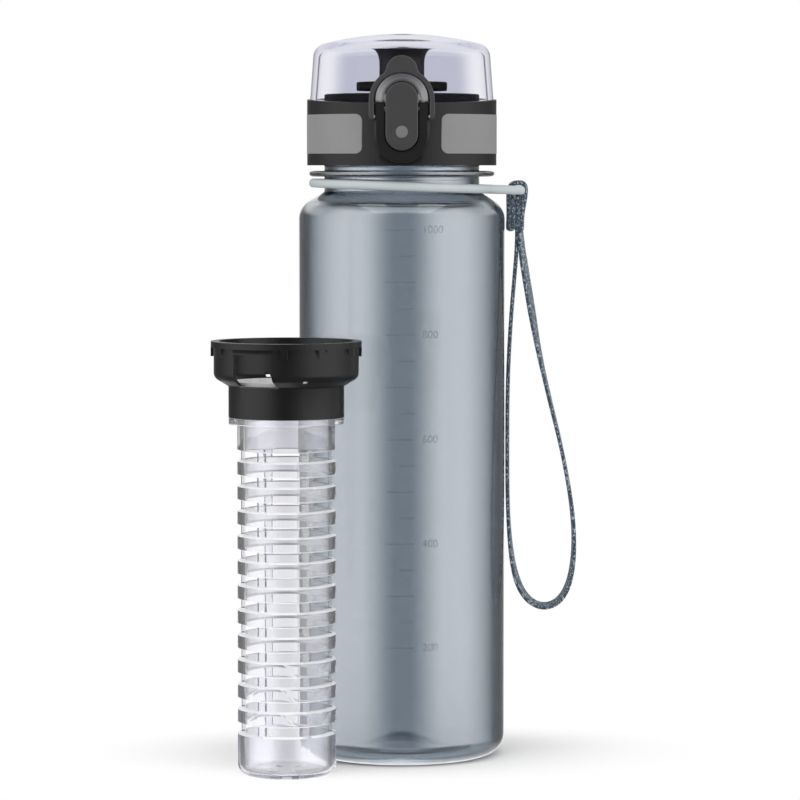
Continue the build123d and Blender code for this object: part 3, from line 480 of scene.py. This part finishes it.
def finish(name):
    """The finish of that name, made once."""
    look = bpy.context.scene.bottle_look
    makers = {
        "tinted_clear": lambda: clear_plastic(
            name, look.bottle_colour, look.bottle_tint, look.bottle_density,
            roughness=0.018, ripple=0.0004, ior=1.5, rim=0.35, gloss=1.0),
        # The dome's darker lavender middle is a painted reflection of its roof's underside, and its
        # sides are painted lighter
        "dome_clear": lambda: clear_plastic(
            name, look.dome_colour, look.clear_tint, look.clear_density,
            roughness=0.01, ripple=0.0001, ior=1.03, rim=0.6,
            painted_side_colour=(0.96, 0.96, 0.98), turned=(0.2, 0.45)),
        "clear": lambda: clear_plastic(
            name, look.clear_colour, look.clear_tint, look.clear_density,
            roughness=0.02, ripple=0.0002, ior=1.15, rim=0.9, gloss=1.0,
            painted_side_colour=(0.98, 0.98, 0.99), clear=0.9, slot_highlight_share=0.6),
        "lid_black": lambda: moulded(name, look.lid_colour, 0.38, specular=0.15),
        "latch_black": lambda: moulded(name, look.latch_colour, 0.45),
        "hasp_grey": lambda: painted_light_arch(name, look.hasp_colour, (0.42, 0.42, 0.44)),
        "post_grey": lambda: moulded(name, (0.028, 0.028, 0.03), 0.4),
        "seal_black": lambda: moulded(name, (0.004, 0.004, 0.004), 0.55, specular=0.25),
        "grip_grey": lambda: moulded(
            name, look.grip_colour, 0.6, grain=0.00003, specular=0.3, lumps=1400.0),
        "dot_grey": lambda: moulded(name, (0.13, 0.13, 0.13), 0.5),
        "pale_silicone": lambda: moulded(name, look.ring_colour, 0.5, specular=0.35),
        "gasket": lambda: moulded(name, (0.75, 0.76, 0.77), 0.5),
        "webbing": lambda: webbing(
            name, (0.014, 0.024, 0.038), look.strap_colour, (0.46, 0.54, 0.62)),
        "steel": lambda: metal(name, (0.55, 0.55, 0.56), 0.3),
        "hopper_black": lambda: moulded(name, look.hopper_colour, 0.33, specular=0.16),
        "scale_mark": lambda: faint(name, (0.08, 0.09, 0.1), 0.3),
        "strainer_grey": lambda: moulded(name, (0.5, 0.5, 0.5), 0.5),
    }
    if name not in FINISHES:
        FINISHES[name] = makers[name]()
    return FINISHES[name]


def dress(*nodes, sharp=32.0, coat=None):
    """Stands a smooth copy, in the finish of its own material slot, in the place of each CAD node.

    The CAD mesh has a flat normal on each facet. In the copy, doubled points are merged, and
    faces that meet at less than the sharp angle share their normals, the large ones first.
    A small sharp angle keeps the edges of shallow chamfers.
    """
    record = frame["record"]
    slots = {row["node"]: row["material_slot"] for row in record["subparts"]}
    bodies = {node: body for body, held in record["behaviour"]["bodies"].items() for node in held}
    pieces = []
    for node in nodes:
        name = node + "_smooth"
        mesh = frame["nodes"][node].data.copy()
        mesh.materials.clear()
        mesh.name = name
        skin = finish(coat or slots[node])
        piece = place_mesh(name, mesh, bodies[node], skin, sharp, turned=True)
        weigh = piece.modifiers.new("large_faces_first", "WEIGHTED_NORMAL")
        weigh.keep_sharp, weigh.weight, weigh.mode = True, LARGE_FACE_WEIGHT, "FACE_AREA_WITH_ANGLE"
        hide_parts(node)
        pieces.append(piece)
    return pieces


# Sizes and colours that a user would change


class BottleLook(PropertyGroup):
    bottle_colour: FloatVectorProperty(
        name="Bottle colour", description="Share of the light that passes the two skins of a wall",
        subtype="COLOR", size=3, default=(0.468, 0.514, 0.56))
    bottle_tint: FloatVectorProperty(
        name="Bottle tint",
        description="Colour of the light that lasts longest inside the wall",
        subtype="COLOR", size=3, default=(0.05, 0.175, 0.29))
    bottle_density: FloatProperty(
        name="Bottle tint depth",
        description="How fast the bottle's wall takes in light, per metre",
        default=40.0, min=0.0)
    # The dome's colour is its middle's: darker and lavender, a painted reflection of the roof's
    # underside
    dome_colour: FloatVectorProperty(
        name="Dome colour", description="Share of the light that passes the dome's two skins",
        subtype="COLOR", size=3, default=(0.73, 0.735, 0.80))
    clear_colour: FloatVectorProperty(
        name="Infuser colour", description="Share of the light that passes the tube's two skins",
        subtype="COLOR", size=3, default=(0.845, 0.848, 0.88))
    clear_tint: FloatVectorProperty(
        name="Clear tint",
        description="Colour of the light that lasts longest inside clear plastic",
        subtype="COLOR", size=3, default=(0.70, 0.70, 0.80))
    clear_density: FloatProperty(
        name="Clear tint depth",
        description="How fast the clear plastic takes in light, per metre",
        default=40.0, min=0.0)
    band_strength: FloatProperty(
        name="Side light", description="Strength of the two tall soft lights beside the camera",
        default=3.4, min=0.0)
    fill: FloatProperty(
        name="Fill light", description="Even light from all round on dull surfaces",
        default=0.5, min=0.0)
    scale_spacing: FloatProperty(
        name="Scale spacing", description="Height of one step of the volume scale",
        unit="LENGTH", default=0.01987)
    lid_colour: FloatVectorProperty(
        name="Lid", description="Colour of the lid's shell and liner",
        subtype="COLOR", size=3, default=(0.009, 0.009, 0.0095))
    latch_colour: FloatVectorProperty(
        name="Latch", description="Colour of the lever and the bail",
        subtype="COLOR", size=3, default=(0.027, 0.027, 0.028))
    hasp_colour: FloatVectorProperty(
        name="Hasp", description="Colour of the arch on the dome",
        subtype="COLOR", size=3, default=(0.05, 0.05, 0.052))
    grip_colour: FloatVectorProperty(
        name="Grip band", description="Colour of the soft band round the lid",
        subtype="COLOR", size=3, default=(0.22, 0.22, 0.22))
    ring_colour: FloatVectorProperty(
        name="Carrying ring", description="Colour of the silicone ring",
        subtype="COLOR", size=3, default=(0.455, 0.5, 0.515))
    strap_colour: FloatVectorProperty(
        name="Strap", description="Main colour of the webbing",
        subtype="COLOR", size=3, default=(0.075, 0.12, 0.17))
    hopper_colour: FloatVectorProperty(
        name="Hopper", description="Colour of the infuser's hopper",
        subtype="COLOR", size=3, default=(0.006, 0.006, 0.006))
    strap_width: FloatProperty(
        name="Strap width", description="Width of the webbing", unit="LENGTH", default=0.0054)
    strap_thickness: FloatProperty(
        name="Strap thickness", description="Thickness of the webbing",
        unit="LENGTH", default=0.0016)
    thread_pitch: FloatProperty(
        name="Thread pitch", description="Rise of the lid in one turn",
        unit="LENGTH", default=0.004)
    camera_distance: FloatProperty(
        name="Camera distance", description="From the bottle's axis to the camera",
        unit="LENGTH", default=1.441)
    camera_height: FloatProperty(
        name="Camera height", description="Height of the camera over the floor",
        unit="LENGTH", default=0.2292)
    picture_scale: FloatProperty(
        name="Picture scale", description="Length at the bottle's axis that one pixel covers",
        unit="LENGTH", default=0.0003895)
    side_steps: IntProperty(
        name="Side steps", description="Faces round a turned piece", default=192, min=24)


# The stage

# Ranges over which the surroundings change: azimuths in degrees from the front, and the
# height z of a direction of length 1
SIDE_BANDS, BAND_HEIGHT = ((6, 50), (66, 130)), ((-0.35, -0.15), (0.6, 0.95))
LOW_SKY, UNDER = (0.45, 0.75), (-0.2, -0.45)
BACK_NARROW, BACK_WIDE, FRONT_WIDE = (158, 174), (146, 164), (16, 34)
RAISED, RAISED_BACK = (0.12, 0.3), (95, 125)

# Levels of the surroundings, where plain white is 1
DIM_LEVEL, UNDER_LEVEL, BAND_THROUGH_LEVEL, STUDIO_IN_FILL = 0.16, 0.25, 1.4, 0.2

# The floor: half its side in metres, the stretch of its distances from the bottle, and the
# distances over which its shadows fade out
FLOOR_SIDE, FLOOR_OVAL, FLOOR_FADE = 6.0, (1.0, 1.7, 1.0), (0.05, 0.13)

# The camera: the point that it looks at, its sensor in millimetres and the picture in pixels
AIM, SENSOR_WIDTH, PICTURE_WIDTH, FAR_END = (-0.0007, 0, 0.1381), 36.0, 800, 50
CAMERA_RAY, DIFFUSE_RAY, GLOSSY_RAY, TRANSMISSION_RAY = 0, 2, 3, 6
WHITE = (1.0, 1.0, 1.0, 1.0)


def lamp(name, place, target, size, power):
    """A soft rectangular lamp that faces a point."""
    light = bpy.data.lights.new(name, "AREA")
    light.shape, light.size, light.size_y = "RECTANGLE", size[0], size[1]
    light.energy = power
    made = bpy.data.objects.new(name, light)
    bpy.context.scene.collection.objects.link(made)
    made.location = place
    made.rotation_euler = (Vector(target) - Vector(place)).to_track_quat("-Z", "Y").to_euler()


def surroundings(look):
    """The world: white behind the bottle, a tall soft light at each side and dim elsewhere.

    Its level is a function of the direction. The camera sees plain white, and a dull surface
    an even fill with a share of the rest. A mirrored ray sees a narrow white stretch behind,
    and a ray that went through plastic a wide one there and one in front, with weaker side
    lights. Above the horizon the sides are white too, from a quarter turn backwards.
    """
    world = bpy.data.worlds.new("surroundings")
    w = Tree(world)
    x, y, z = w.apart(w.node("ShaderNodeTexCoord"))
    turn = w.math("ARCTAN2", w.math("ABSOLUTE", x), y * -1) * (180 / math.pi)
    sides = w.between(turn, *SIDE_BANDS) * w.between(z, *BAND_HEIGHT)
    low = w.fall(z, *LOW_SKY)
    narrow = w.step(turn, *BACK_NARROW) * low
    wide = (w.step(turn, *BACK_WIDE) + w.fall(turn, *FRONT_WIDE)) * low
    raised = w.step(z, *RAISED) * w.step(turn, *RAISED_BACK) * low
    path = w.node("ShaderNodeLightPath")
    camera_ray, diffuse_ray, gloss_ray, through = w.outputs(
        path, CAMERA_RAY, DIFFUSE_RAY, GLOSSY_RAY, TRANSMISSION_RAY)
    behind = w.math("MAXIMUM", gloss_ray * narrow + (1 - gloss_ray) * wide, raised)
    bands = sides * (look.band_strength - through * (look.band_strength - BAND_THROUGH_LEVEL))
    under = w.step(z, *UNDER) * UNDER_LEVEL
    studio = DIM_LEVEL + behind * (1 - DIM_LEVEL) + bands + under
    even = diffuse_ray * (look.fill + studio * STUDIO_IN_FILL)
    level = even + (1 - diffuse_ray) * studio
    level = level + camera_ray * (1 - level)
    back = w.node("ShaderNodeBackground", values={"Color": WHITE, "Strength": level})
    w.node("ShaderNodeOutputWorld", values={"Surface": back})
    return world


def floor_white():
    """White paint that takes shadows near the bottle and turns into even white further out.

    It is even white to rays that come through plastic too, and mirrored rays pass it.
    """
    f = Finish("floor_white")
    oval = f.node("ShaderNodeMapping", values={"Vector": f.place(), "Scale": FLOOR_OVAL})
    far = f.node("ShaderNodeVectorMath", {"operation": "LENGTH"}, {0: oval}, output=1)
    paint = f.surface(
        Base_Color=f.blend(f.noise(400.0, 2.0), (0.93, 0.93, 0.93), (0.95, 0.95, 0.95)),
        Roughness=0.7,
        Specular_IOR_Level=0.2,
    )
    glow = f.node("ShaderNodeEmission", values={"Color": WHITE, "Strength": 1.0})
    path = f.node("ShaderNodeLightPath")
    gloss_ray, through = f.outputs(path, GLOSSY_RAY, TRANSMISSION_RAY)
    lit = f.math("MAXIMUM", f.step(far, *FLOOR_FADE), through)
    seen = f.node("ShaderNodeMixShader", values={0: lit, 1: paint, 2: glow})
    clear = f.node("ShaderNodeBsdfTransparent")
    return f.done(f.node("ShaderNodeMixShader", values={0: gloss_ray, 1: seen, 2: clear}))


class BOTTLE_OT_stage(Operator):
    """Sets the floor, the white surroundings, the lamps and the camera"""

    bl_idname = "bottle.stage"
    bl_label = "Stage"

    def execute(self, context):
        look = context.scene.bottle_look
        scene = context.scene
        scene.view_settings.view_transform = "Standard"

        scene.world = surroundings(look)

        side = FLOOR_SIDE
        corners = [(-side, -side, 0), (side, -side, 0), (side, side, 0), (-side, side, 0)]
        mesh = new_mesh("floor", corners, [(0, 1, 2, 3)])
        mesh.materials.append(floor_white())
        floor = bpy.data.objects.new("floor", mesh)
        scene.collection.objects.link(floor)

        lamp("top_light", place=(0.0, -0.5, 1.5), target=(0, 0, 0.1), size=(1.6, 1.6), power=10)

        camera = bpy.data.cameras.new("camera")
        eye = bpy.data.objects.new("camera", camera)
        scene.collection.objects.link(eye)
        place = Vector((0, -look.camera_distance, look.camera_height))
        sight = Vector(AIM) - place
        eye.location = place
        eye.rotation_euler = sight.to_track_quat("-Z", "Y").to_euler()
        camera.sensor_width = SENSOR_WIDTH
        camera.lens = SENSOR_WIDTH * sight.length / look.picture_scale / PICTURE_WIDTH
        camera.clip_end = FAR_END
        scene.camera = eye
        return {"FINISHED"}


# The carrying ring and its strap

# Points in millimetres down the loop's left leg, round its bend and up its right leg
STRAP_ROUTE = (
    (44.8, 0.4, 204.3), (44.75, 0.4, 198.0), (43.8, 0.5, 186.0), (42.3, 0.6, 168.0),
    (41.2, 0.6, 145.0), (41.1, 0.5, 118.0), (41.3, 0.4, 95.0), (42.7, 0.3, 77.0),
    (45.3, 0.2, 66.0), (49.6, 0.1, 59.4), (55.6, 0.0, 56.9), (61.6, -0.1, 59.3),
    (65.6, -0.2, 66.5), (67.4, -0.3, 79.0), (66.6, -0.4, 96.0), (62.4, -0.5, 119.0),
    (57.6, -0.6, 138.0), (53.0, -0.6, 158.0), (49.6, -0.6, 178.0), (47.3, -0.5, 192.0),
    (46.4, -0.4, 198.5), (46.2, -0.4, 204.3),
)

# The loop's turn about its line: the share of the way along it, and the degrees there
STRAP_TWIST = (
    (0, 0), (0.06, 1), (0.2, 1), (0.36, 2), (0.4, 9), (0.45, 20), (0.52, 17), (0.6, 5),
    (0.72, -3), (0.82, -10), (0.9, -28), (0.96, -28), (0.985, -20), (1, -8),
)

# The folded eye, in millimetres: the layer that goes through the tab, and two that lie inside it
EYE_ROUTES = (
    ((46.5, 0, 204.2), (46.5, 0, 208.0), (46.9, 0, 212.0), (47.6, 0, 215.5), (48.0, 0, 218.5),
     (48.0, 0, 221.2), (47.0, 0, 222.5), (45.3, 0, 222.6), (43.6, 0, 222.5), (42.1, 0, 221.5),
     (41.5, 0, 219.0), (41.5, 0, 215.0), (41.6, 0, 210.0), (41.4, 0, 206.0), (41.4, 0, 204.7),
     (43.1, 0, 204.7), (43.1, 0, 206.0), (43.2, 0, 212.0), (43.3, 0, 218.0)),
    ((44.8, 0, 204.2), (44.85, 0, 208.0), (44.9, 0, 212.0), (44.8, 0, 215.0), (44.8, 0, 218.0)),
    ((46.1, 0, 207.5), (46.2, 0, 210.0), (46.4, 0, 213.0), (46.5, 0, 215.5), (46.4, 0, 218.0)),
)

# A layer's thickness against the loop's, points round the band, and points between its line's
EYE_THICKNESS_SHARE, BAND_SIDES, CURVE_STEPS = 1.2, 20, 12


def spline_points(route, name):
    """Points along the NURBS line that a route in mm controls, each of its points with weight 1."""
    curve = bpy.data.curves.new(name, "CURVE")
    curve.dimensions = "3D"
    curve.resolution_u = CURVE_STEPS
    spline = curve.splines.new("NURBS")
    spline.points.add(len(route) - 1)
    spline.points.foreach_set("co", np.array([(*p, 1 / MM) for p in route]).ravel() * MM)
    spline.order_u = 3
    spline.use_endpoint_u = True
    bare = bpy.data.objects.new(name, curve)
    mesh = bpy.data.meshes.new_from_object(bare)
    line = np.array([v.co for v in mesh.vertices], float)
    bpy.data.meshes.remove(mesh)
    bpy.data.curves.remove(curve)
    return line


def band_along(name, line, width, thickness, turn):
    """A flat band of webbing along a line: a rounded section, turned about the line.

    The section is the superellipse |x|^3 + |y|^3 = 1 scaled to width and thickness. At
    each point the width lies at the angle turn from the world's Y, square to the line.
    """
    ahead = np.gradient(line, axis=0)
    ahead /= np.linalg.norm(ahead, axis=1)[:, None]
    across = np.array([0.0, 1.0, 0.0]) - ahead * ahead[:, 1:2]
    across /= np.linalg.norm(across, axis=1)[:, None]
    out = np.cross(ahead, across)
    c, s = np.cos(turn)[:, None], np.sin(turn)[:, None]
    wide, thin = across * c + out * s, out * c - across * s
    t = np.linspace(0, 2 * math.pi, BAND_SIDES, endpoint=False)
    x = np.sign(np.cos(t)) * np.abs(np.cos(t)) ** (2 / 3) * width / 2
    y = np.sign(np.sin(t)) * np.abs(np.sin(t)) ** (2 / 3) * thickness / 2
    points = line[:, None] + wide[:, None] * x[None, :, None] + thin[:, None] * y[None, :, None]
    uv = np.stack(np.broadcast_arrays(x[None, :] / MM, run_along(line)[:, None] / MM), axis=-1)
    mesh = new_mesh(name, points, tube_faces(len(line), BAND_SIDES))
    layer = mesh.uv_layers.new(name="UVMap")
    corner = np.empty(len(mesh.loops), np.int32)
    mesh.loops.foreach_get("vertex_index", corner)
    layer.data.foreach_set("uv", uv.reshape(-1, 2)[corner].astype(np.float32).ravel())
    return place_mesh(name, mesh, "ring", finish("webbing"), sharp=80.0)


class BOTTLE_OT_strap(Operator):
    """Makes the carrying ring's finish, the strap's folded eye and its hanging loop"""

    bl_idname = "bottle.strap"
    bl_label = "Carrying ring and strap"

    def execute(self, context):
        look = context.scene.bottle_look
        dress("carry_ring")
        line = spline_points(STRAP_ROUTE, "strap_route")
        run = run_along(line)
        share, degrees = np.array(STRAP_TWIST).T
        turn = np.interp(run / run[-1], share, np.radians(degrees))
        loop = band_along("wrist_strap", line, look.strap_width, look.strap_thickness, turn)
        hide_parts("strap_loop")
        for number, route in enumerate(EYE_ROUTES):
            name = "eye_layer_%d" % (number + 1)
            line = spline_points(route, name)
            thickness = look.strap_thickness * EYE_THICKNESS_SHARE
            piece = band_along(name, line, look.strap_width, thickness, np.zeros(len(line)))
            if number == 0:
                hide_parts("strap_eye")
        return {"FINISHED"}


# The bottle


def bottle_profile():
    """Half outline of the bottle's wall: up the outside, over the rim, down the inside.

    The hill in the base is half a cosine wave, and the shoulder an arc with a cone on it.
    """
    turn = math.radians(SHOULDER_TURN)
    slope = math.tan(turn)
    centre_r = BODY_RADIUS - SHOULDER_ROUND
    run = centre_r + SHOULDER_ROUND * math.cos(turn) - NECK_RADIUS
    centre_z = NECK_ROOT - run / slope - SHOULDER_ROUND * math.sin(turn)

    def cone(inset, r):
        """The height of the cone, or of its inside, at a radius."""
        at_r = centre_r + (SHOULDER_ROUND - inset) * math.cos(turn)
        return centre_z + (SHOULDER_ROUND - inset) * math.sin(turn) + (at_r - r) / slope

    t = np.linspace(0, 1, HILL_STEPS)
    rise = HILL_HEIGHT * (0.5 + 0.5 * np.cos(math.pi * t))
    hill = np.stack([HILL_RADIUS * t, FOOT_RISE + rise], axis=1)
    heel, shoulder = (BODY_RADIUS - HEEL_ROUND, HEEL_ROUND), (centre_r, centre_z)
    root, bead_top, seat = NECK_RADIUS + CONE_REACH, BEAD_Z + BEAD_HEIGHT, NECK_TOP - MOUTH_DEPTH
    return np.concatenate([
        hill,
        rounded([(HILL_RADIUS + HILL_APRON, FOOT_RISE), (FOOT_INNER - FOOT_RISE, FOOT_RISE, 0.5),
                 (FOOT_INNER, 0.0, 0.4), (FOOT_OUTER, 0.0)], 4),
        arc(heel, HEEL_ROUND, -90, 0, ARC_STEPS),
        arc(shoulder, SHOULDER_ROUND, 0, SHOULDER_TURN, ARC_STEPS),
        rounded([(root, cone(0, root)), (NECK_RADIUS, NECK_ROOT, 1.0), (NECK_RADIUS, BEAD_Z, 0.3),
                 (BEAD_RADIUS, BEAD_Z, 0.9), (BEAD_RADIUS, bead_top, 0.9),
                 (NECK_RADIUS, bead_top, 0.3), (NECK_RADIUS, NECK_TOP, 0.5),
                 (MOUTH_BORE, NECK_TOP, 0.5), (MOUTH_BORE, seat, 0.2), (NECK_BORE, seat, 0.2),
                 (NECK_BORE, cone(BODY_WALL, NECK_BORE), 1.5), (root, cone(BODY_WALL, root))], 6),
        arc(shoulder, SHOULDER_ROUND - BODY_WALL, SHOULDER_TURN, 0, ARC_STEPS),
        arc(heel, HEEL_ROUND - BODY_WALL, 0, -90, ARC_STEPS),
        rounded(INNER_FLOOR, 2),
        hill[::-1] + [0.0, BODY_WALL],
    ])


def on_body(flat, radius):
    """Carries a flat drawing round the body: x is the run round the front, and y is the height."""
    turn = flat[:, 0] / radius - math.pi / 2
    deep = radius + flat[:, 2]
    return np.stack([deep * np.cos(turn), deep * np.sin(turn), flat[:, 1]], axis=1)


def scale_marks(look):
    """The volume scale in metres: a line for each step, short ones between, and plain numbers.

    It is drawn flat, x along and y up, and then carried round the body's front.
    """
    pieces = []
    for step in range(SCALE_STEPS * 2):
        low = SCALE_FIRST * MM + look.scale_spacing * step / 2
        across = np.linspace(*(SHORT_LINE if step % 2 else LONG_LINE), LINE_POINTS)
        x, y = np.meshgrid(across, (low - LINE_HALF, low + LINE_HALF), indexing="ij")
        points = np.stack([x, y, np.full_like(x, SCALE_DEPTH)], axis=-1).reshape(-1, 3)
        pieces.append((points, grid_faces(LINE_POINTS, 2, closed=False)))
    for step in range(0, SCALE_STEPS, 2):
        words = bpy.data.curves.new("number", "FONT")
        words.body, words.size, words.align_y = str(100 * (step + 2)), NUMBER_SIZE, "CENTER"
        bare = bpy.data.objects.new("number", words)
        mesh = bpy.data.meshes.new_from_object(bare)
        points = np.array([v.co for v in mesh.vertices], float)
        points += (NUMBER_LEFT, SCALE_FIRST * MM + look.scale_spacing * step, SCALE_DEPTH)
        pieces.append((points, [list(p.vertices) for p in mesh.polygons]))
        bpy.data.meshes.remove(mesh)
        bpy.data.curves.remove(words)
    points, faces, first = [], [], 0
    for part, sides in pieces:
        points.append(part)
        faces += [[k + first for k in side] for side in sides]
        first += len(part)
    return on_body(np.concatenate(points), BODY_RADIUS * MM), faces


class BOTTLE_OT_bottle(Operator):
    """Makes the bottle's clear shell, its neck thread and its volume scale"""

    bl_idname = "bottle.bottle"
    bl_label = "Bottle"

    def execute(self, context):
        look = context.scene.bottle_look
        clear = finish("tinted_clear")
        shell = revolve("bottle_shell", bottle_profile(), "bottle", clear, look.side_steps)
        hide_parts("bottle_body")
        mesh = new_mesh("volume_scale", *scale_marks(look))
        marks = place_mesh("volume_scale", mesh, "bottle", finish("scale_mark"))
        thread = thread_ridge(
            "neck_thread", NECK_RADIUS, 1, THREAD_Z, look.thread_pitch / MM, "bottle", clear)
        dress("neck_gasket")
        return {"FINISHED"}


# The dome, the lid, the latch and the infuser


class BOTTLE_OT_dome(Operator):
    """Makes the clear dome and the finishes of its stopper"""

    bl_idname = "bottle.dome"
    bl_label = "Dome"

    def execute(self, context):
        dress("dome", coat="dome_clear")
        dress("stopper_post", "stopper_seal")
        return {"FINISHED"}


class BOTTLE_OT_lid(Operator):
    """Gives the lid its finishes and its thread"""

    bl_idname = "bottle.lid"
    bl_label = "Lid"

    def execute(self, context):
        dress("lid_shell", "lid_liner", sharp=12.0)
        dress("grip_band", "hinge_pin", "hinge_spring")
        pitch = context.scene.bottle_look.thread_pitch / MM
        thread = thread_ridge(
            "lid_thread", SLEEVE_BORE, -1, THREAD_Z - pitch / 2, pitch, "lid", finish("lid_black"))
        return {"FINISHED"}


class BOTTLE_OT_latch(Operator):
    """Gives the lever, the bail and the hasp their finishes"""

    bl_idname = "bottle.latch"
    bl_label = "Latch"

    def execute(self, context):
        dress("hasp", "release_lever", "press_dot", "locking_bail", "lever_pin", "bail_pins")
        (spring,) = dress("lever_spring")
        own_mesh(spring)
        return {"FINISHED"}


class BOTTLE_OT_infuser(Operator):
    """Gives the infuser's tube, hopper and strainer their finishes"""

    bl_idname = "bottle.infuser"
    bl_label = "Infuser"

    def execute(self, context):
        for piece in dress("infuser_tube", "infuser_hopper", "infuser_strainer", sharp=12.0):
            piece.visible_glossy = False  # the bottle's wall doesn't mirror the infuser
        return {"FINISHED"}


OPERATORS = (
    BOTTLE_OT_stage,
    BOTTLE_OT_strap,
    BOTTLE_OT_bottle,
    BOTTLE_OT_dome,
    BOTTLE_OT_lid,
    BOTTLE_OT_latch,
    BOTTLE_OT_infuser,
)


class BOTTLE_PT_panel(Panel):
    """Lists the operators that build the bottle's looks"""

    bl_idname = "BOTTLE_PT_panel"
    bl_label = "Infuser bottle"
    bl_space_type = "VIEW_3D"
    bl_region_type = "UI"
    bl_category = "Bottle"

    def draw(self, context):
        for kind in OPERATORS:
            self.layout.operator(kind.bl_idname)
        look = context.scene.bottle_look
        for name in look.bl_rna.properties.keys():
            if name not in ("rna_type", "name"):
                self.layout.prop(look, name)


def register():
    for kind in (BottleLook, *OPERATORS, BOTTLE_PT_panel):
        bpy.utils.register_class(kind)
    bpy.types.Scene.bottle_look = PointerProperty(type=BottleLook)


def unregister():
    del bpy.types.Scene.bottle_look
    for kind in (BOTTLE_PT_panel, *reversed(OPERATORS), BottleLook):
        bpy.utils.unregister_class(kind)


def main():
    """Runs every operator in order."""
    register()
    for kind in OPERATORS:
        family, name = kind.bl_idname.split(".")
        getattr(getattr(bpy.ops, family), name)()


if __name__ == "__main__":
    main()
